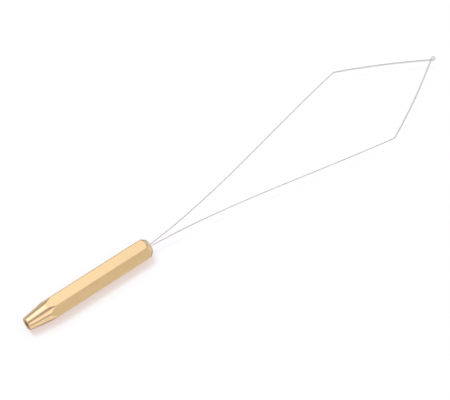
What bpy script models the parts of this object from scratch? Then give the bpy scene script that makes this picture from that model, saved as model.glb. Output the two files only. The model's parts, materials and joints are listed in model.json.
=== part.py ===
"""Bobbin threader with a half-hitch nose, for fly tying.

A hexagonal brass handle has a bored, turned nose at one end and a blind socket at the other.
One spring wire is bent at its middle into a small round eye and folded into a long kite-shaped
loop, and both its ends are soldered into the socket. Squeezing the loop closes it flat, so that
it passes through a bobbin's tube. The wire bends as a whole; here it is cut into straight or
gently curved lengths that turn on upright axes where it bends most.

Frame: +X along the handle, from the nose to the loop, +Z up. The origin is the middle of the
flat that the handle rests on. Left is +Y and right is -Y.
"""
from math import atan2, cos, pi, radians, sin, tan

import bmesh
import bpy
from mathutils import Vector

MM = 0.001

# Handle: quarter-inch hexagonal brass bar
HEX_ACROSS_FLATS = 6.35 * MM
HANDLE_LENGTH = 45.3 * MM
NOSE_TIP_RADIUS = 2.05 * MM
NOSE_LENGTH = 10.5 * MM                # from the tip to where the cone leaves the bar's corners
NOSE_EDGE = 0.2 * MM
NOSE_BORE_RADIUS = 0.8 * MM
NOSE_BORE_DEPTH = 11.0 * MM
END_FACE_RADIUS = 2.35 * MM
END_CHAMFER_ANGLE = radians(38)        # off the handle's axis
SOCKET_RADIUS = 1.0 * MM
SOCKET_DEPTH = 10.0 * MM
DRILL_POINT_ANGLE = radians(59)        # half of a 118 degree drill point

# Solder that holds the wire's two ends in the socket
SOLDER_GAP = 0.05 * MM
BEAD_RADIUS = 1.25 * MM
BEAD_HEIGHT = 0.55 * MM

# Spring wire
WIRE_RADIUS = 0.15 * MM
WIRE_HOLE_RADIUS = WIRE_RADIUS + 0.05 * MM
TAIL_OFFSET = 0.35 * MM                # each end of the wire, from the handle's axis
TAIL_DEPTH = 9.0 * MM
ROOT_HINGE_X = 1.1 * MM                # from the handle's end face
BEND_HINGE_X = 22.0 * MM
HINGE_GAP = 0.12 * MM                  # between two lengths that turn on each other
ELBOW_GAP = 0.4 * MM                   # measured along the wire, round the elbow
EYE_GAP = 0.2 * MM
OPEN_GAP = 0.7 * MM                    # the one joint of the closed loop that is left open

# Kite-shaped loop, in its own frame: +X along the loop from the handle's end face
LOOP_LEAN = radians(0.45)              # the loop leans a little to the left of the handle's axis
ELBOW = {"left": (89.45 * MM, 16.93 * MM), "right": (87.6 * MM, -15.89 * MM)}
LOOP_TIP = (118.55 * MM, 0.92 * MM)    # where the two front wires cross
LEG_START_ANGLE = radians(4.5)
LEG_END_ANGLE = radians(9.9)
FRONT_BOW = 0.6 * MM
EYE_RADIUS = 0.48 * MM                 # to the middle of the wire
EYE_TILT = 0.6                         # rise of the eye per distance to the left
CROSSING_LIFT = 0.2 * MM               # each wire's height off the loop's plane at the crossing
EYE_STUB = 0.3 * MM

# Fineness of the round shapes
TURNED_STEPS = 48
LEG_STEP = 2.8 * MM
EYE_STEP_ANGLE = radians(13)

# Derived sizes
HEX_CORNER_RADIUS = HEX_ACROSS_FLATS / 2 / cos(radians(30))
AXIS_HEIGHT = HEX_ACROSS_FLATS / 2
END_X = HANDLE_LENGTH / 2
NOSE_X = -HANDLE_LENGTH / 2
SPARE = 1.0 * MM                       # how far a cutter runs past what it cuts
SIDE = {"left": 1, "right": -1}


def clear_scene():
    for obj in list(bpy.data.objects):
        bpy.data.objects.remove(obj, do_unlink=True)


def new_collection(name):
    collection = bpy.data.collections.new(name)
    bpy.context.scene.collection.children.link(collection)
    return collection


def metal(name, colour, roughness):
    material = bpy.data.materials.new(name)
    material.use_nodes = True
    shader = material.node_tree.nodes["Principled BSDF"]
    shader.inputs["Base Color"].default_value = (*colour, 1.0)
    shader.inputs["Metallic"].default_value = 1.0
    shader.inputs["Roughness"].default_value = roughness
    return material


def add_object(name, data, collection, material=None):
    obj = bpy.data.objects.new(name, data)
    collection.objects.link(obj)
    if material:
        data.materials.append(material)
    return obj


def turned(name, profile, collection, material=None):
    """Turn a profile of (radius, x) points, loop end first, round the handle's axis."""
    mesh = bpy.data.meshes.new(name)
    points = [(radius, 0.0, x) for radius, x in profile]
    edges = [(i, i + 1) for i in range(len(points) - 1)]
    mesh.from_pydata(points, edges, [])
    obj = add_object(name, mesh, collection, material)
    obj.location = (0.0, 0.0, AXIS_HEIGHT)
    obj.rotation_euler = (0.0, pi / 2, 0.0)
    screw = obj.modifiers.new("Turn", "SCREW")
    screw.axis = "Z"
    screw.steps = TURNED_STEPS
    screw.render_steps = TURNED_STEPS
    screw.use_merge_vertices = True
    screw.merge_threshold = 0.000001
    screw.use_smooth_shade = False
    return obj


def hex_bar(name, collection, material):
    """Six-sided bar along X, flats up and down, longer than the handle at both ends."""
    mesh = bpy.data.meshes.new(name)
    bar = bmesh.new()
    bmesh.ops.create_cone(
        bar, cap_ends=True, segments=6, depth=HANDLE_LENGTH + 2 * SPARE,
        radius1=HEX_CORNER_RADIUS, radius2=HEX_CORNER_RADIUS)
    bar.to_mesh(mesh)
    bar.free()
    obj = add_object(name, mesh, collection, material)
    obj.location = (0.0, 0.0, AXIS_HEIGHT)
    obj.rotation_euler = (0.0, pi / 2, 0.0)
    return obj


def wire(name, points, collection, material=None, radius=WIRE_RADIUS):
    """Round wire through the given points."""
    curve = bpy.data.curves.new(name, "CURVE")
    curve.dimensions = "3D"
    curve.bevel_depth = radius
    curve.bevel_resolution = 2
    curve.use_fill_caps = True
    spline = curve.splines.new("POLY")
    spline.points.add(len(points) - 1)
    for spline_point, point in zip(spline.points, points):
        spline_point.co = (*point, 1.0)
    return add_object(name, curve, collection, material)


def curve_to_mesh(obj):
    """Replace a curve object by a closed mesh object of the same name."""
    graph = bpy.context.evaluated_depsgraph_get()
    mesh = bpy.data.meshes.new_from_object(obj.evaluated_get(graph))
    closed = bmesh.new()
    closed.from_mesh(mesh)
    bmesh.ops.remove_doubles(closed, verts=closed.verts, dist=0.000001)
    closed.to_mesh(mesh)
    closed.free()
    name = obj.name
    collection = obj.users_collection[0]
    matrix = obj.matrix_world.copy()
    bpy.data.objects.remove(obj, do_unlink=True)
    solid = bpy.data.objects.new(name, mesh)
    collection.objects.link(solid)
    solid.matrix_world = matrix
    return solid


def hide_cutter(obj):
    obj.hide_render = True
    obj.display_type = "WIRE"


def boolean(obj, cutter, operation):
    modifier = obj.modifiers.new(operation.title() + " " + cutter.name, "BOOLEAN")
    modifier.operation = operation
    modifier.object = cutter
    modifier.solver = "EXACT"
    hide_cutter(cutter)


def make_handle(parts, cutters, brass):
    """Hexagonal bar, turned at both ends, with a bored nose and a blind socket."""
    outside = HEX_CORNER_RADIUS + SPARE / 2
    chamfer_length = (outside - END_FACE_RADIUS) / tan(END_CHAMFER_ANGLE)
    nose_slope = (HEX_CORNER_RADIUS - NOSE_TIP_RADIUS) / NOSE_LENGTH
    cone_length = (outside - NOSE_TIP_RADIUS) / nose_slope
    envelope = [
        (0.0, END_X),
        (END_FACE_RADIUS, END_X),
        (outside, END_X - chamfer_length),
        (outside, NOSE_X + cone_length),
        (NOSE_TIP_RADIUS + NOSE_EDGE * nose_slope, NOSE_X + NOSE_EDGE),
        (NOSE_TIP_RADIUS - NOSE_EDGE, NOSE_X),
        (0.0, NOSE_X),
    ]
    socket_point = SOCKET_RADIUS / tan(DRILL_POINT_ANGLE)
    socket = [
        (0.0, END_X + SPARE),
        (SOCKET_RADIUS, END_X + SPARE),
        (SOCKET_RADIUS, END_X - SOCKET_DEPTH),
        (0.0, END_X - SOCKET_DEPTH - socket_point),
    ]
    bore_end = NOSE_X + NOSE_BORE_DEPTH
    bore_point = NOSE_BORE_RADIUS / tan(DRILL_POINT_ANGLE)
    bore = [
        (0.0, bore_end + bore_point),
        (NOSE_BORE_RADIUS, bore_end),
        (NOSE_BORE_RADIUS, NOSE_X + NOSE_EDGE),
        (NOSE_BORE_RADIUS + NOSE_EDGE, NOSE_X),
        (NOSE_BORE_RADIUS + NOSE_EDGE, NOSE_X - SPARE),
        (0.0, NOSE_X - SPARE),
    ]
    handle = hex_bar("handle", parts, brass)
    boolean(handle, turned("handle_envelope", envelope, cutters), "INTERSECT")
    boolean(handle, turned("socket_cutter", socket, cutters), "DIFFERENCE")
    boolean(handle, turned("nose_bore_cutter", bore, cutters), "DIFFERENCE")


def make_solder(parts, cutters, solder):
    """Plug in the socket with a low bead on the end face and a hole for each wire end."""
    bead_steps = 5
    bead_base = END_X + SOLDER_GAP
    bead = []
    for i in range(bead_steps + 1):
        angle = pi / 2 * i / bead_steps
        bead.append((BEAD_RADIUS * sin(angle), bead_base + BEAD_HEIGHT * cos(angle)))
    plug_radius = SOCKET_RADIUS - SOLDER_GAP
    plug_end = END_X - SOCKET_DEPTH + SOLDER_GAP
    plug = [(plug_radius, bead_base), (plug_radius, plug_end), (0.0, plug_end)]
    body = turned("solder_plug", bead + plug, parts, solder)
    for side, sign in SIDE.items():
        y = sign * TAIL_OFFSET
        inner = Vector((END_X - TAIL_DEPTH - SOLDER_GAP, y, AXIS_HEIGHT))
        outer = Vector((END_X + SPARE, y, AXIS_HEIGHT))
        hole = wire(side + "_tail_cutter", [inner, outer], cutters, radius=WIRE_HOLE_RADIUS)
        boolean(body, curve_to_mesh(hole), "DIFFERENCE")


def loop_point(x, y):
    """Turn a point of the loop's own frame by its lean and place it on the handle's axis."""
    return Vector((
        END_X + x * cos(LOOP_LEAN) - y * sin(LOOP_LEAN),
        x * sin(LOOP_LEAN) + y * cos(LOOP_LEAN),
        AXIS_HEIGHT))


def leg_curve(side):
    """Return the leg's course from the root hinge to the elbow, as a cubic y over x."""
    sign = SIDE[side]
    start = Vector((END_X + ROOT_HINGE_X, sign * TAIL_OFFSET, AXIS_HEIGHT))
    end = loop_point(*ELBOW[side])
    start_slope = tan(sign * LEG_START_ANGLE + LOOP_LEAN)
    end_slope = tan(sign * LEG_END_ANGLE + LOOP_LEAN)
    length = end.x - start.x

    def point(x):
        s = (x - start.x) / length
        y = (start.y * (2 * s**3 - 3 * s**2 + 1)
             + length * start_slope * (s**3 - 2 * s**2 + s)
             + end.y * (3 * s**2 - 2 * s**3)
             + length * end_slope * (s**3 - s**2))
        return Vector((x, y, AXIS_HEIGHT))

    return point, start, end


def leg_points(side, start_x, end_x):
    point, _, _ = leg_curve(side)
    count = max(2, round((end_x - start_x) / LEG_STEP))
    return [point(start_x + (end_x - start_x) * i / count) for i in range(count + 1)]


def make_leg(side, parts, steel):
    """Soldered tail, root length and main leg of one side of the loop."""
    _, start, end = leg_curve(side)
    tail = [
        Vector((END_X - TAIL_DEPTH, start.y, AXIS_HEIGHT)),
        Vector((start.x - HINGE_GAP / 2, start.y, AXIS_HEIGHT)),
    ]
    bend_x = END_X + BEND_HINGE_X
    elbow_trim = ELBOW_GAP / 2 * cos(LEG_END_ANGLE)
    wire(side + "_wire_tail", tail, parts, steel)
    root = leg_points(side, start.x + HINGE_GAP / 2, bend_x - HINGE_GAP / 2)
    wire(side + "_wire_root", root, parts, steel)
    leg = leg_points(side, bend_x + HINGE_GAP / 2, end.x - elbow_trim)
    wire(side + "_wire_leg", leg, parts, steel)


def front_point(side, along):
    """Point on a front wire: 0 is the elbow and 1 is the crossing at the tip."""
    elbow = loop_point(*ELBOW[side])
    tip = loop_point(*LOOP_TIP)
    chord = tip - elbow
    outward = SIDE[side] * Vector((-chord.y, chord.x, 0.0)).normalized()
    bow = 4 * FRONT_BOW * along * (1 - along)
    lift = -SIDE[side] * CROSSING_LIFT * along
    return elbow + chord * along + outward * bow + Vector((0.0, 0.0, lift))


def make_front(side, parts, steel):
    """Front wire from the elbow to just short of the crossing."""
    chord = (loop_point(*LOOP_TIP) - loop_point(*ELBOW[side])).length
    end_gap = EYE_STUB + EYE_GAP if side == "left" else OPEN_GAP
    first = ELBOW_GAP / 2 / chord
    last = 1 - end_gap / chord
    count = round(chord / LEG_STEP)
    points = [front_point(side, first + (last - first) * i / count) for i in range(count + 1)]
    wire(side + "_wire_front", points, parts, steel)


def make_eye(parts, steel):
    """Round eye at the wire's middle, from the left front wire round to the crossing again."""
    tip = loop_point(*LOOP_TIP)
    left_chord = tip - loop_point(*ELBOW["left"])
    bow_angle = atan2(4 * FRONT_BOW, left_chord.length)
    half_angle = LOOP_LEAN - atan2(left_chord.y, left_chord.x) + bow_angle
    centre_x = EYE_RADIUS / sin(half_angle)
    straight = EYE_RADIUS / tan(half_angle)
    sweep = pi + 2 * half_angle
    length = 2 * straight + EYE_RADIUS * sweep

    plan = [(-EYE_STUB, -half_angle, -EYE_STUB), (0.0, -half_angle, 0.0)]
    course = [(d * cos(a), d * sin(a), s) for d, a, s in plan]
    count = round(sweep / EYE_STEP_ANGLE)
    for i in range(count + 1):
        turn = sweep * i / count
        angle = -pi / 2 - half_angle + turn
        course.append((
            centre_x + EYE_RADIUS * cos(angle),
            EYE_RADIUS * sin(angle),
            straight + EYE_RADIUS * turn))
    course.append((0.0, 0.0, length))

    points = []
    for x, y, s in course:
        flat = loop_point(LOOP_TIP[0] + x, LOOP_TIP[1] + y)
        rise = CROSSING_LIFT * (2 * max(s, 0.0) / length - 1)
        if s > 0.0:
            rise += EYE_TILT * y
        points.append(flat + Vector((0.0, 0.0, rise)))
    wire("tip_eye", points, parts, steel)


def main():
    clear_scene()
    parts = new_collection("bobbin_threader")
    cutters = new_collection("cutters")
    brass = metal("brass", (0.80, 0.58, 0.29), 0.32)
    solder = metal("solder", (0.55, 0.54, 0.52), 0.45)
    steel = metal("spring_steel", (0.60, 0.60, 0.61), 0.25)
    make_handle(parts, cutters, brass)
    make_solder(parts, cutters, solder)
    for side in SIDE:
        make_leg(side, parts, steel)
        make_front(side, parts, steel)
    make_eye(parts, steel)


main()
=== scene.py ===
"""Looks of the bobbin threader: brass handle, solder, spring wire, floor, light and camera."""
import json
from math import atan2, cos, exp, pi, radians, sin, tan

import bmesh
import bpy
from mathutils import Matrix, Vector, noise


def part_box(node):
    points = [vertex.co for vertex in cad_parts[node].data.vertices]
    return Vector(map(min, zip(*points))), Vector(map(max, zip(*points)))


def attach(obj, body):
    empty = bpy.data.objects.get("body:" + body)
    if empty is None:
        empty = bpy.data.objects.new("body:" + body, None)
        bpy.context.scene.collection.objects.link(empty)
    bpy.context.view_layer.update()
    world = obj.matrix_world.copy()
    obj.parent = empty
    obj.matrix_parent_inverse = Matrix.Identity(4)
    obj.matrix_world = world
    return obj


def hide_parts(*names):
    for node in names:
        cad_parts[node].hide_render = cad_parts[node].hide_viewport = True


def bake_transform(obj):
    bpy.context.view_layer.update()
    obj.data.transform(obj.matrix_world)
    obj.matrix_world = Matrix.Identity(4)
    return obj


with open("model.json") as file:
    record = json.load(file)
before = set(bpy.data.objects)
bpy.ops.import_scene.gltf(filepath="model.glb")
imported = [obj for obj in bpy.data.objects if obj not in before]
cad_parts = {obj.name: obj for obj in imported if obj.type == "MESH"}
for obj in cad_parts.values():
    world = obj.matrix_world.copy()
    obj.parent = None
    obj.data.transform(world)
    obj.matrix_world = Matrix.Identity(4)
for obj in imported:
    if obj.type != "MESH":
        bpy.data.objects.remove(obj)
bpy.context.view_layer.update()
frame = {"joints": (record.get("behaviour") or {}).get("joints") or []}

MM = 0.001
UP = Vector((0.0, 0.0, 1.0))

# Places from the frame
HINGES = {joint["name"]: Vector(joint["pos_m"]) for joint in frame["joints"]}
ROOT = {"left": HINGES["loop_squeeze"], "right": HINGES["right_root_bend"]}
BEND = {"left": HINGES["left_leg_bend"], "right": HINGES["right_leg_bend"]}
ELBOW = {"left": HINGES["left_elbow"], "right": HINGES["right_elbow"]}
TIP = HINGES["eye_turn"]
HANDLE_LOW, HANDLE_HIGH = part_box("handle")
NOSE_X = HANDLE_LOW.x
END_X = HANDLE_HIGH.x
AXIS_HEIGHT = (HANDLE_LOW.z + HANDLE_HIGH.z) / 2
APOTHEM = (HANDLE_HIGH.z - HANDLE_LOW.z) / 2
CORNER_RADIUS = APOTHEM / cos(radians(30))

# Handle, as in the CAD
NOSE_TIP_RADIUS = 2.05 * MM
NOSE_LENGTH = 10.5 * MM
NOSE_EDGE = 0.2 * MM
NOSE_BORE_RADIUS = 0.8 * MM
NOSE_BORE_DEPTH = 11.0 * MM
END_FACE_RADIUS = 2.35 * MM
END_CHAMFER_SLOPE = tan(radians(38))
SOCKET_RADIUS = 1.0 * MM
SOCKET_DEPTH = 10.0 * MM
DRILL_POINT_SLOPE = tan(radians(59))

# Handle, finer than the CAD
FLAT_POINTS = 13                       # points across each flat
EDGE_STEPS = 8                         # steps round each long edge
EDGE_REACH = 0.18 * MM                 # how far the six long edges are eased into the flats
TURNED_ROUND = 0.05 * MM               # rounding where turned faces meet
NOSE_ROUND = 0.09 * MM                 # rounding round the tip of the nose
END_ROUND = 0.12 * MM                  # rounding between the end chamfer and the end face
SOCKET_EDGE = 0.08 * MM                # chamfer round the socket's mouth
SOCKET_ROUND = 0.03 * MM
DRILL_TIP_RADIUS = 0.02 * MM           # each drilled point ends in a tiny flat
ROUNDING_STEPS = 3
MOST_OF_A_SIDE = 0.45                  # share of each side that a rounding may take
BORED, TURNED, DRAWN = range(3)        # kinds of face, in the order of the handle's materials

# Solder
SOLDER_GAP = 0.02 * MM                 # to the socket's wall and the end face
SOLDER_FLOOR_GAP = 0.1 * MM            # between the plug and the bottom of the socket
BEAD_AROUND = 48
BEAD_ACROSS = 14
BEAD_RADIUS = 1.22 * MM
BEAD_HEIGHT = 0.5 * MM
BEAD_CROWN = 0.8                       # under 1 makes the bead's side steeper and its top flatter
BEAD_WOBBLE = 0.09 * MM
WOBBLE_PLACE = 3.7                     # where in the noise the bead's outline is taken
CLIMB_RADIUS = 0.26 * MM               # how far from a wire the solder is drawn up
CLIMB_HEIGHT = 0.18 * MM
RIPPLE_SIZE = 0.7 * MM
RIPPLE_HEIGHT = 0.05 * MM

# Wire course, as in the CAD
SIDE = {"left": 1, "right": -1}
WIRE_RADIUS = 0.15 * MM
TAIL_DEPTH = 9.0 * MM                  # how far the wire's two ends reach into the handle
LOOP_LEAN = radians(0.45)              # the loop leans a little to the left of the handle's axis
LEG_START_ANGLE = radians(4.5)
LEG_END_ANGLE = radians(9.9)
FRONT_BOW = 0.6 * MM                   # how far each front wire bows outward
EYE_RADIUS = 0.48 * MM                 # to the middle of the wire
EYE_TILT = 0.6                         # rise of the eye per distance to the left
CROSSING_LIFT = 0.2 * MM               # each wire's height off the loop's plane at the crossing

# Wire mesh
WIRE_STEP = 0.4 * MM
WIRE_SIDES = 16
CAP_ANGLES = (30, 60, 80)              # rings of a rounded end, in degrees from its rim
EYE_STEPS = 30
EYE_STRAIGHT_STEPS = 3

# Colours; the tints are a metal's colour at grazing angles
DRAWN_DEEP = (0.785, 0.555, 0.285)
DRAWN_LIGHT = (0.83, 0.598, 0.315)
DRAWN_WORN = (0.87, 0.64, 0.355)
DRAWN_GRAZING_TINT = (0.46, 0.43, 0.39)
TURNED_DEEP = (0.81, 0.585, 0.335)
TURNED_LIGHT = (0.87, 0.64, 0.375)
TURNED_GRAZING_TINT = (0.31, 0.28, 0.26)
# Far darker than brass: painted shade inside the bore and socket
BORED_PAINTED_SHADE_DEEP = (0.26, 0.165, 0.07)
BORED_PAINTED_SHADE_LIGHT = (0.40, 0.27, 0.13)
SOLDER_DEEP = (0.42, 0.39, 0.35)
SOLDER_LIGHT = (0.64, 0.60, 0.55)
FLUX_STAIN = (0.36, 0.29, 0.20)
STEEL_DEEP = (0.665, 0.60, 0.58)
STEEL_LIGHT = (0.755, 0.685, 0.66)
FLOOR_DEEP = (0.605, 0.605, 0.605)
FLOOR_LIGHT = (0.61, 0.61, 0.61)

# Camera and floor; an azimuth of 0 degrees is in front (-Y) and 90 is at +X
CAMERA_AZIMUTH = -37.7
CAMERA_ELEVATION = 56.0
CAMERA_DISTANCE = 550 * MM
CAMERA_TARGET = Vector((END_X + 30.77 * MM, 0.93 * MM, 0.0))    # on the floor, under the loop
CAMERA_LENS = 138.7                    # lens and sensor in millimetres
CAMERA_SENSOR = 36.0
CAMERA_CLIP = (0.01, 20.0)             # clip and floor in metres
FLOOR_SIZE = 6.0
FLOOR_CENTRE = (0.06, 0.0, 0.0)

# Light, with angles in degrees
AMBIENT = (0.5, 0.498, 0.495)          # the same from all sides
SOFT_LIGHTS = [                        # azimuth, elevation, full within, gone beyond, radiance, tint
    (185, 62, 12, 38, 1.05, (0.97, 1.0, 1.17)),
    (0, 37, 8, 27, 0.72, (1.0, 1.0, 1.10)),
    (82, 42, 6, 24, 0.95, (1.0, 1.0, 1.0)),
]
SUNS = [                               # name, azimuth, elevation, strength, width, colour
    ("key", 195, 69.5, 0.88, 26, (0.52, 0.95, 1.0)),
    ("fill", CAMERA_AZIMUTH, CAMERA_ELEVATION, 2.86, 4, (1.0, 0.85, 0.84)),
]


# ---------------------------------------------------------------- mesh helpers

def new_object(name, data):
    obj = bpy.data.objects.new(name, data)
    bpy.context.scene.collection.objects.link(obj)
    return obj


def ring_mesh(name, rings, kinds=None):
    """Closed mesh from rings of points: quads from ring to ring and a fan over each end.

    kinds holds a material index for each band between two rings.
    """
    count = len(rings[0])
    last = (len(rings) - 1) * count
    vertices = [point for ring in rings for point in ring]
    start_centre = len(vertices)
    end_centre = start_centre + 1
    vertices.append(sum(rings[0], Vector()) / count)
    vertices.append(sum(rings[-1], Vector()) / count)
    faces = []
    bands = []
    for i in range(len(rings) - 1):
        for j in range(count):
            k = (j + 1) % count
            faces.append((i * count + j, i * count + k, (i + 1) * count + k, (i + 1) * count + j))
            bands.append(i)
    for j in range(count):
        faces.append((start_centre, (j + 1) % count, j))
        bands.append(0)
    for j in range(count):
        faces.append((end_centre, last + j, last + (j + 1) % count))
        bands.append(-1)
    mesh = bpy.data.meshes.new(name)
    mesh.from_pydata([tuple(v) for v in vertices], [], faces)
    if kinds:
        for polygon, band in zip(mesh.polygons, bands):
            polygon.material_index = kinds[band]
    solid = bmesh.new()
    solid.from_mesh(mesh)
    bmesh.ops.recalc_face_normals(solid, faces=solid.faces)
    solid.to_mesh(mesh)
    solid.free()
    mesh.shade_smooth()
    return mesh


def rounded(corner, before, after, radius, steps=ROUNDING_STEPS):
    """Points that round a corner of an outline towards its two neighbours; radius 0 keeps it sharp."""
    if not radius:
        return [corner]
    one = before - corner
    two = after - corner
    start = corner + one.normalized() * min(radius, one.length * MOST_OF_A_SIDE)
    end = corner + two.normalized() * min(radius, two.length * MOST_OF_A_SIDE)
    points = []
    for i in range(steps + 1):
        t = i / steps
        points.append(start * (1 - t) ** 2 + corner * 2 * t * (1 - t) + end * t ** 2)
    return points


# ---------------------------------------------------------------- materials

class Nodes:
    """Node tree with short calls that add and join its nodes."""

    def __init__(self, tree):
        self.tree = tree

    def node(self, kind, **values):
        made = self.tree.nodes.new(kind)
        for name, value in values.items():
            setattr(made, name, value)
        return made

    def link(self, source, target):
        self.tree.links.new(source, target)


class Shader(Nodes):
    """Material with a Principled BSDF and short calls for what feeds it."""

    def __init__(self, name, metallic=0.0):
        self.material = bpy.data.materials.new(name)
        self.material.use_nodes = True
        super().__init__(self.material.node_tree)
        self.bsdf = self.tree.nodes["Principled BSDF"]
        self.bsdf.inputs["Metallic"].default_value = metallic

    def noise(self, scale, detail=3.0, roughness=0.5, distortion=0.0):
        """Noise whose grain is given in features per metre along X, Y and Z."""
        place = self.node("ShaderNodeTexCoord")
        mapping = self.node("ShaderNodeMapping")
        mapping.inputs["Scale"].default_value = scale
        texture = self.node("ShaderNodeTexNoise")
        texture.inputs["Scale"].default_value = 1.0
        texture.inputs["Detail"].default_value = detail
        texture.inputs["Roughness"].default_value = roughness
        texture.inputs["Distortion"].default_value = distortion
        self.link(place.outputs["Object"], mapping.inputs["Vector"])
        self.link(mapping.outputs["Vector"], texture.inputs["Vector"])
        return texture.outputs["Fac"]

    def ramp(self, source, low, high, dark, light):
        """Colour that runs from dark to light as the source goes from low to high."""
        ramp = self.node("ShaderNodeValToRGB")
        for element, position, colour in zip(ramp.color_ramp.elements, (low, high), (dark, light)):
            element.position = position
            element.color = (*colour, 1.0)
        self.link(source, ramp.inputs["Fac"])
        return ramp.outputs["Color"]

    def spread(self, source, low, high):
        """Value from low to high, from noise, which mostly stays between 0.3 and 0.7."""
        mapped = self.node("ShaderNodeMapRange")
        mapped.inputs["From Min"].default_value = 0.3
        mapped.inputs["From Max"].default_value = 0.7
        mapped.inputs["To Min"].default_value = low
        mapped.inputs["To Max"].default_value = high
        self.link(source, mapped.inputs["Value"])
        return mapped.outputs["Result"]

    def total(self, one, two):
        add = self.node("ShaderNodeMath", operation="ADD")
        self.link(one, add.inputs[0])
        self.link(two, add.inputs[1])
        return add.outputs["Value"]

    def overlay(self, mask, source, colour):
        """The source's colour, changed to a fixed colour where the mask is 1."""
        mix = self.node("ShaderNodeMix", data_type="RGBA")
        sockets = {socket.name: socket for socket in mix.inputs if socket.enabled}
        self.link(mask, sockets["Factor"])
        self.link(source, sockets["A"])
        sockets["B"].default_value = (*colour, 1.0)
        return [socket for socket in mix.outputs if socket.enabled][0]

    def bump(self, heights, distance):
        """Chain of bumps, each with its own strength, into the shader's normal."""
        normal = None
        for height, strength in heights:
            bump = self.node("ShaderNodeBump")
            bump.inputs["Strength"].default_value = strength
            bump.inputs["Distance"].default_value = distance
            self.link(height, bump.inputs["Height"])
            if normal:
                self.link(normal, bump.inputs["Normal"])
            normal = bump.outputs["Normal"]
        self.link(normal, self.bsdf.inputs["Normal"])

    def edge_wear(self):
        attribute = self.node("ShaderNodeAttribute", attribute_name="edge_wear")
        return attribute.outputs["Fac"]


def drawn_brass():
    """Satin flats of the drawn bar: faint lengthwise grain, light tarnish and brighter edges."""
    s = Shader("drawn_brass", metallic=1.0)
    s.bsdf.inputs["Specular Tint"].default_value = (*DRAWN_GRAZING_TINT, 1.0)
    blotches = s.noise((160, 420, 420), detail=4.0, roughness=0.6)
    grain = s.noise((220, 9000, 9000), detail=3.0, roughness=0.65)
    scratches = s.noise((90, 16000, 16000), detail=2.0, roughness=0.8, distortion=0.3)
    colour = s.ramp(blotches, 0.36, 0.66, DRAWN_DEEP, DRAWN_LIGHT)
    s.link(s.overlay(s.edge_wear(), colour, DRAWN_WORN), s.bsdf.inputs["Base Color"])
    rough = s.total(s.spread(blotches, 0.28, 0.36), s.spread(grain, -0.03, 0.05))
    s.link(rough, s.bsdf.inputs["Roughness"])
    s.bump([(grain, 0.22), (scratches, 0.12)], 0.02 * MM)
    return s.material


def turned_brass():
    """Bright turned faces of the nose and end: fine rings left by the tool."""
    s = Shader("turned_brass", metallic=1.0)
    s.bsdf.inputs["Specular Tint"].default_value = (*TURNED_GRAZING_TINT, 1.0)
    rings = s.noise((12000, 60, 60), detail=2.0)
    chatter = s.noise((1500, 30, 30), detail=2.0)
    blotches = s.noise((300, 500, 500), roughness=0.6)
    s.link(s.ramp(blotches, 0.36, 0.66, TURNED_DEEP, TURNED_LIGHT), s.bsdf.inputs["Base Color"])
    s.link(s.spread(rings, 0.13, 0.20), s.bsdf.inputs["Roughness"])
    s.bump([(rings, 0.12), (chatter, 0.10)], 0.01 * MM)
    return s.material


def bored_brass_painted_shade():
    """Drilled holes: duller and darker, with rings from the drill; the darker colour is painted shade
    inside the bore and socket.
    """
    s = Shader("bored_brass_painted_shade", metallic=1.0)
    rings = s.noise((8000, 200, 200), detail=2.0)
    s.link(s.ramp(rings, 0.35, 0.65, BORED_PAINTED_SHADE_DEEP, BORED_PAINTED_SHADE_LIGHT), s.bsdf.inputs["Base Color"])
    s.link(s.spread(rings, 0.35, 0.50), s.bsdf.inputs["Roughness"])
    s.bump([(rings, 0.3)], 0.02 * MM)
    return s.material


def solder_metal():
    """Frozen solder: dull grey, grainy, with a few brighter patches and flux stains."""
    s = Shader("solder", metallic=1.0)
    patches = s.noise((2600, 2600, 2600), detail=4.0, roughness=0.6)
    grain = s.noise((14000, 14000, 14000))
    stain = s.noise((900, 900, 900), detail=2.0)
    colour = s.ramp(patches, 0.35, 0.65, SOLDER_DEEP, SOLDER_LIGHT)
    stained = s.overlay(s.spread(stain, 0.0, 0.35), colour, FLUX_STAIN)
    s.link(stained, s.bsdf.inputs["Base Color"])
    s.link(s.spread(patches, 0.28, 0.5), s.bsdf.inputs["Roughness"])
    s.bump([(patches, 0.3), (grain, 0.2)], 0.03 * MM)
    return s.material


def wire_steel():
    """Bright drawn spring wire: fine draw marks and slight changes of tone along it."""
    s = Shader("spring_steel", metallic=1.0)
    tone = s.noise((350, 350, 350), roughness=0.6)
    marks = s.noise((1200, 24000, 24000), detail=2.0, roughness=0.6)
    s.link(s.ramp(tone, 0.35, 0.65, STEEL_DEEP, STEEL_LIGHT), s.bsdf.inputs["Base Color"])
    s.link(s.spread(marks, 0.20, 0.34), s.bsdf.inputs["Roughness"])
    s.bump([(marks, 0.15)], 0.01 * MM)
    return s.material


def floor_paper():
    """Matt, pale paper with a trace of unevenness."""
    s = Shader("paper_floor")
    tone = s.noise((30, 30, 30), detail=2.0)
    s.link(s.ramp(tone, 0.3, 0.7, FLOOR_DEEP, FLOOR_LIGHT), s.bsdf.inputs["Base Color"])
    s.bsdf.inputs["Roughness"].default_value = 0.9
    s.bsdf.inputs["Specular IOR Level"].default_value = 0.1
    return s.material


# ---------------------------------------------------------------- handle

def hex_outline():
    """Outline of the bar's section as (angle, radius, edge wear), with eased corners."""
    corners = []
    for side in range(6):
        turn = radians(60 * side)
        corners.append(Vector((CORNER_RADIUS * cos(turn), CORNER_RADIUS * sin(turn))))
    bends = []
    for side in range(6):
        before = corners[side - 1]
        after = corners[(side + 1) % 6]
        bends.append(rounded(corners[side], before, after, EDGE_REACH, EDGE_STEPS))
    outline = []
    for side in range(6):
        for i, point in enumerate(bends[side]):
            outline.append((point, sin(pi * i / EDGE_STEPS)))
        flat_start = bends[side][-1]
        flat_end = bends[(side + 1) % 6][0]
        for i in range(1, FLAT_POINTS + 1):
            outline.append((flat_start.lerp(flat_end, i / (FLAT_POINTS + 1)), 0.0))
    return [(atan2(point.y, point.x), point.length, wear) for point, wear in outline]


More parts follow.
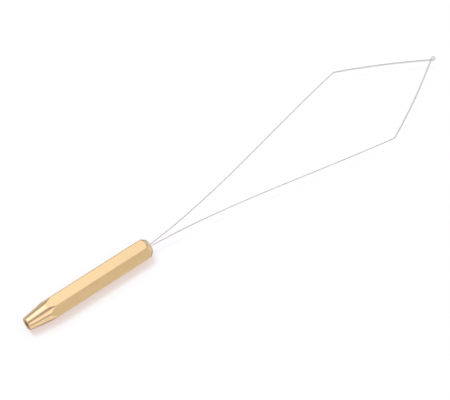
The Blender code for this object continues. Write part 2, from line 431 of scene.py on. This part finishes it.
def handle_profile(radius):
    """Corners of the handle at one angle of the bar, from inside the bore to inside the socket.

    Each is its place (x, r), its rounding and the kind of face that follows it.
    """
    slope = (CORNER_RADIUS - NOSE_TIP_RADIUS) / NOSE_LENGTH
    cone_meets = NOSE_X + (radius - NOSE_TIP_RADIUS) / slope
    chamfer_meets = END_X - (radius - END_FACE_RADIUS) / END_CHAMFER_SLOPE
    bore_end = NOSE_X + NOSE_BORE_DEPTH
    socket_end = END_X - SOCKET_DEPTH
    corners = [
        (bore_end + NOSE_BORE_RADIUS / DRILL_POINT_SLOPE, DRILL_TIP_RADIUS, 0.0, BORED),
        (bore_end, NOSE_BORE_RADIUS, 0.0, BORED),
        (NOSE_X + NOSE_EDGE, NOSE_BORE_RADIUS, TURNED_ROUND, BORED),
        (NOSE_X, NOSE_BORE_RADIUS + NOSE_EDGE, TURNED_ROUND, TURNED),
        (NOSE_X, NOSE_TIP_RADIUS - NOSE_EDGE, NOSE_ROUND, TURNED),
        (NOSE_X + NOSE_EDGE, NOSE_TIP_RADIUS + NOSE_EDGE * slope, NOSE_ROUND, TURNED),
        (cone_meets, radius, TURNED_ROUND, DRAWN),
        (chamfer_meets, radius, TURNED_ROUND, TURNED),
        (END_X, END_FACE_RADIUS, END_ROUND, TURNED),
        (END_X, SOCKET_RADIUS + SOCKET_EDGE, SOCKET_ROUND, BORED),
        (END_X - SOCKET_EDGE, SOCKET_RADIUS, SOCKET_ROUND, BORED),
        (socket_end, SOCKET_RADIUS, 0.0, BORED),
        (socket_end - SOCKET_RADIUS / DRILL_POINT_SLOPE, DRILL_TIP_RADIUS, 0.0, BORED),
    ]
    return [(Vector((x, r)), rounding, kind) for x, r, rounding, kind in corners]


def handle_line(radius):
    """Profile at one angle with its corners rounded: its points, and the kind of face between them."""
    corners = handle_profile(radius)
    points = [corners[0][0]]
    kinds = []
    for before, corner, after in zip(corners, corners[1:], corners[2:]):
        place_before, _, kind_before = before
        place, rounding, kind = corner
        place_after, _, _ = after
        made = rounded(place, place_before, place_after, rounding)
        points += made
        kinds += [kind_before] + [kind] * (len(made) - 1)
    points.append(corners[-1][0])
    kinds.append(corners[-2][2])
    return points, kinds


def handle_piece():
    """Loft the handle from one profile per angle, so that each turned face meets each flat exactly."""
    lines = []
    wear = []
    for angle, radius, edge in hex_outline():
        points, kinds = handle_line(radius)
        lines.append([Vector((p.x, p.y * cos(angle), p.y * sin(angle) + AXIS_HEIGHT)) for p in points])
        wear.append(edge)
    rings = [list(ring) for ring in zip(*lines)]
    mesh = ring_mesh("brass_handle", rings, kinds)
    for material in (bored_brass_painted_shade(), turned_brass(), drawn_brass()):
        mesh.materials.append(material)
    end_centres = [0.0, 0.0]
    attribute = mesh.attributes.new("edge_wear", "FLOAT", "POINT")
    attribute.data.foreach_set("value", wear * len(rings) + end_centres)
    handle = new_object("brass_handle", mesh)
    handle.modifiers.new("Even shading", "WEIGHTED_NORMAL")
    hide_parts("handle")
    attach(handle, "handle")


# ---------------------------------------------------------------- solder

def bead_point(swell, angle):
    """Point on the bead: swell runs from 0 at its rim to a quarter turn at its middle."""
    wobble = noise.noise(Vector((cos(angle), sin(angle), WOBBLE_PLACE))) * BEAD_WOBBLE
    r = (BEAD_RADIUS + wobble) * cos(swell)
    y = r * cos(angle)
    z = r * sin(angle)
    climb = sum(exp(-((y - root.y) ** 2 + z ** 2) / CLIMB_RADIUS ** 2) for root in ROOT.values())
    ripple = noise.noise(Vector((y, z, 0.0)) / RIPPLE_SIZE) * RIPPLE_HEIGHT
    height = BEAD_HEIGHT * sin(swell) ** BEAD_CROWN + (climb * CLIMB_HEIGHT + ripple) * sin(swell)
    return Vector((END_X + SOLDER_GAP + height, y, AXIS_HEIGHT + z))


def solder_piece():
    """Plug in the socket and a low bead on the end face, drawn up a little round the two wires."""
    angles = [2 * pi * j / BEAD_AROUND for j in range(BEAD_AROUND)]
    plug_radius = SOCKET_RADIUS - SOLDER_GAP
    section = [(plug_radius * cos(a), AXIS_HEIGHT + plug_radius * sin(a)) for a in angles]
    rings = []
    for x in (END_X - SOCKET_DEPTH + SOLDER_FLOOR_GAP, END_X + SOLDER_GAP):
        rings.append([Vector((x, y, z)) for y, z in section])
    for i in range(BEAD_ACROSS):
        swell = pi / 2 * i / BEAD_ACROSS
        rings.append([bead_point(swell, angle) for angle in angles])
    mesh = ring_mesh("solder_bead", rings)
    mesh.materials.append(solder_metal())
    bead = new_object("solder_bead", mesh)
    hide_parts("solder_plug")
    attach(bead, "handle")


# ---------------------------------------------------------------- wire

def leg_point(side, x):
    """Point on a leg: a cubic y over x from the root hinge to the elbow."""
    start = ROOT[side]
    end = ELBOW[side]
    length = end.x - start.x
    s = (x - start.x) / length
    start_slope = tan(SIDE[side] * LEG_START_ANGLE + LOOP_LEAN)
    end_slope = tan(SIDE[side] * LEG_END_ANGLE + LOOP_LEAN)
    y = (start.y * (2 * s**3 - 3 * s**2 + 1)
         + length * start_slope * (s**3 - 2 * s**2 + s)
         + end.y * (3 * s**2 - 2 * s**3)
         + length * end_slope * (s**3 - s**2))
    return Vector((x, y, AXIS_HEIGHT))


def front_point(side, along):
    """Point on a front wire: 0 is the elbow and 1 is the crossing at the tip."""
    chord = TIP - ELBOW[side]
    outward = SIDE[side] * Vector((-chord.y, chord.x, 0.0)).normalized()
    bow = 4 * FRONT_BOW * along * (1 - along)
    lift = Vector((0.0, 0.0, -SIDE[side] * CROSSING_LIFT * along))
    return ELBOW[side] + chord * along + outward * bow + lift


def eye_plan():
    """The eye seen from above, as (x, y, run so far), with x along the loop from the crossing.

    It leaves straight from the crossing, goes round in an arc and comes straight back.
    """
    chord = TIP - ELBOW["left"]
    bow_angle = atan2(4 * FRONT_BOW, chord.length)
    half_angle = LOOP_LEAN - atan2(chord.y, chord.x) + bow_angle    # left wire's end to the loop's axis
    centre = EYE_RADIUS / sin(half_angle)
    straight = EYE_RADIUS / tan(half_angle)
    sweep = pi + 2 * half_angle
    length = 2 * straight + EYE_RADIUS * sweep
    plan = []
    for i in range(1, EYE_STRAIGHT_STEPS):
        run = straight * i / EYE_STRAIGHT_STEPS
        plan.append((run * cos(half_angle), -run * sin(half_angle), run))
    for i in range(EYE_STEPS + 1):
        turn = sweep * i / EYE_STEPS
        angle = -pi / 2 - half_angle + turn
        x = centre + EYE_RADIUS * cos(angle)
        plan.append((x, EYE_RADIUS * sin(angle), straight + EYE_RADIUS * turn))
    for i in reversed(range(EYE_STRAIGHT_STEPS)):
        run = straight * i / EYE_STRAIGHT_STEPS
        plan.append((run * cos(half_angle), run * sin(half_angle), length - run))
    return plan


def eye_points():
    """Course round the eye, from the crossing on the left wire to the crossing on the right."""
    plan = eye_plan()
    length = plan[-1][2]
    points = []
    for x, y, run in plan:
        lift = CROSSING_LIFT * (2 * run / length - 1) + EYE_TILT * y
        points.append(TIP + Vector((
            x * cos(LOOP_LEAN) - y * sin(LOOP_LEAN),
            x * sin(LOOP_LEAN) + y * cos(LOOP_LEAN),
            lift)))
    return points


def relaxed(points):
    """Ease the sharp bends of a course; its ends stay where they are."""
    middle = [(a + b * 2 + c) / 4 for a, b, c in zip(points, points[1:], points[2:])]
    return [points[0]] + middle + [points[-1]]


def side_course(side):
    """Whole course of one side of the wire, from deep in the socket to the crossing."""
    root = ROOT[side]
    tail_start = END_X - TAIL_DEPTH
    tail = root.x - tail_start
    leg = ELBOW[side].x - root.x
    front = (TIP - ELBOW[side]).length
    tail_count, leg_count, front_count = (round(length / WIRE_STEP) for length in (tail, leg, front))
    points = [Vector((tail_start + tail * i / tail_count, root.y, AXIS_HEIGHT)) for i in range(tail_count)]
    points += [leg_point(side, root.x + leg * i / leg_count) for i in range(leg_count)]
    points += [front_point(side, i / front_count) for i in range(front_count + 1)]
    return relaxed(points)


def nearest(points, target):
    """Index of the point that lies nearest to a target."""
    return min(range(len(points)), key=lambda i: (points[i] - target).length)


def cut_course(side):
    """One side's course in four stretches, cut where it stays on one body."""
    points = side_course(side)
    mid_root = leg_point(side, (ROOT[side].x + BEND[side].x) / 2)
    mid_leg = leg_point(side, (BEND[side].x + ELBOW[side].x) / 2)
    mid_front = front_point(side, 0.5)
    cuts = [nearest(points, target) for target in (mid_root, mid_leg, mid_front)]
    edges = [0] + cuts + [len(points) - 1]
    return [points[a:b + 1] for a, b in zip(edges, edges[1:])]


def tube(name, points, round_end=False):
    """Closed round tube through points, with a flat start and a flat or rounded end."""
    ways = []
    for behind, ahead in zip([points[0]] + points, points[1:] + [points[-1]]):
        ways.append((ahead - behind).normalized())
    stations = [(point, way, WIRE_RADIUS) for point, way in zip(points, ways)]
    if round_end:
        for angle in CAP_ANGLES:
            shift = ways[-1] * WIRE_RADIUS * sin(radians(angle))
            stations.append((points[-1] + shift, ways[-1], WIRE_RADIUS * cos(radians(angle))))
    rings = []
    for point, way, radius in stations:
        across = UP.cross(way).normalized()
        over = way.cross(across)
        ring = []
        for j in range(WIRE_SIDES):
            angle = 2 * pi * j / WIRE_SIDES
            ring.append(point + across * radius * cos(angle) + over * radius * sin(angle))
        rings.append(ring)
    return ring_mesh(name, rings)


def wire_piece(name, points, steel, round_end=False):
    """Steel tube along part of the course."""
    piece = new_object(name, tube(name, points, round_end))
    piece.data.materials.append(steel)
    return piece


def blend_at(piece):
    """Bake a piece's placement into its mesh."""
    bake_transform(piece)


def wire_side(side, steel):
    """Four pieces of one side: all but the right tip cross one hinge."""
    at_handle, mid_leg, at_elbow, at_tip = cut_course(side)
    root_body, leg_body, front_body = (side + part for part in ("_root", "_leg", "_front"))

    piece = wire_piece(side + "_wire_at_handle", at_handle, steel)
    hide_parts(side + "_wire_tail", side + "_wire_root")
    blend_at(piece)

    piece = wire_piece(side + "_wire_mid_leg", mid_leg, steel)
    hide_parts(side + "_wire_leg")
    blend_at(piece)

    piece = wire_piece(side + "_wire_at_elbow", at_elbow, steel)
    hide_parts(side + "_wire_front")
    blend_at(piece)

    if side == "left":
        piece = wire_piece("left_wire_and_eye", at_tip + eye_points(), steel, round_end=True)
        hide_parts("tip_eye")
        blend_at(piece)
    else:
        piece = wire_piece("right_wire_at_tip", at_tip, steel, round_end=True)
        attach(piece, front_body)


# ---------------------------------------------------------------- floor, light and camera

def from_above(azimuth, elevation):
    """Unit vector towards a light or camera, from degrees: azimuth 0 is in front (-Y), 90 at +X."""
    turn = radians(azimuth)
    rise = radians(elevation)
    return Vector((sin(turn) * cos(rise), -cos(turn) * cos(rise), sin(rise)))


def plain_floor():
    bpy.ops.mesh.primitive_plane_add(size=FLOOR_SIZE, location=FLOOR_CENTRE)
    floor = bpy.context.object
    floor.name = "floor"
    floor.data.materials.append(floor_paper())


def soft_light(nodes, place, azimuth, elevation, inner, outer, radiance, tint):
    """Coloured radiance that fades from inner to outer degrees off a direction."""
    dot = nodes.node("ShaderNodeVectorMath", operation="DOT_PRODUCT")
    dot.inputs[1].default_value = from_above(azimuth, elevation)
    nodes.link(place, dot.inputs[0])
    fade = nodes.node("ShaderNodeMapRange", interpolation_type="SMOOTHSTEP")
    fade.inputs["From Min"].default_value = cos(radians(outer))
    fade.inputs["From Max"].default_value = cos(radians(inner))
    fade.inputs["To Min"].default_value = 0.0
    fade.inputs["To Max"].default_value = radiance
    nodes.link(dot.outputs["Value"], fade.inputs["Value"])
    coloured = nodes.node("ShaderNodeVectorMath", operation="SCALE")
    coloured.inputs["Vector"].default_value = tint
    nodes.link(fade.outputs["Result"], coloured.inputs["Scale"])
    return coloured.outputs["Vector"]


def studio_world():
    """Even surroundings with three soft lights: high behind, lower in front and past the loop."""
    world = bpy.data.worlds.new("studio")
    bpy.context.scene.world = world
    world.use_nodes = True
    nodes = Nodes(world.node_tree)
    nodes.tree.nodes.clear()
    place = nodes.node("ShaderNodeTexCoord").outputs["Generated"]
    total = None
    for light in SOFT_LIGHTS:
        add = nodes.node("ShaderNodeVectorMath", operation="ADD")
        if total:
            nodes.link(total, add.inputs[0])
        else:
            add.inputs[0].default_value = AMBIENT
        nodes.link(soft_light(nodes, place, *light), add.inputs[1])
        total = add.outputs["Vector"]
    background = nodes.node("ShaderNodeBackground")
    output = nodes.node("ShaderNodeOutputWorld")
    nodes.link(total, background.inputs["Color"])
    nodes.link(background.outputs["Background"], output.inputs["Surface"])


def sun(name, azimuth, elevation, strength, width, colour):
    """Sun that lights the scene and isn't mirrored in the metal."""
    lamp = bpy.data.lights.new(name, "SUN")
    lamp.energy = strength
    lamp.angle = radians(width)
    lamp.color = colour
    obj = new_object(name, lamp)
    obj.rotation_euler = from_above(azimuth, elevation).to_track_quat("Z", "Y").to_euler()
    obj.visible_glossy = False


def camera():
    data = bpy.data.cameras.new("camera")
    data.lens = CAMERA_LENS
    data.sensor_width = CAMERA_SENSOR
    data.clip_start, data.clip_end = CAMERA_CLIP
    obj = new_object("camera", data)
    back = from_above(CAMERA_AZIMUTH, CAMERA_ELEVATION)
    obj.location = CAMERA_TARGET + back * CAMERA_DISTANCE
    obj.rotation_euler = (-back).to_track_quat("-Z", "Y").to_euler()
    bpy.context.scene.camera = obj


camera()
plain_floor()
studio_world()
for settings in SUNS:
    sun(*settings)
bpy.context.scene.view_settings.view_transform = "Standard"
handle_piece()
solder_piece()
spring_steel = wire_steel()
for side in SIDE:
    wire_side(side, spring_steel)
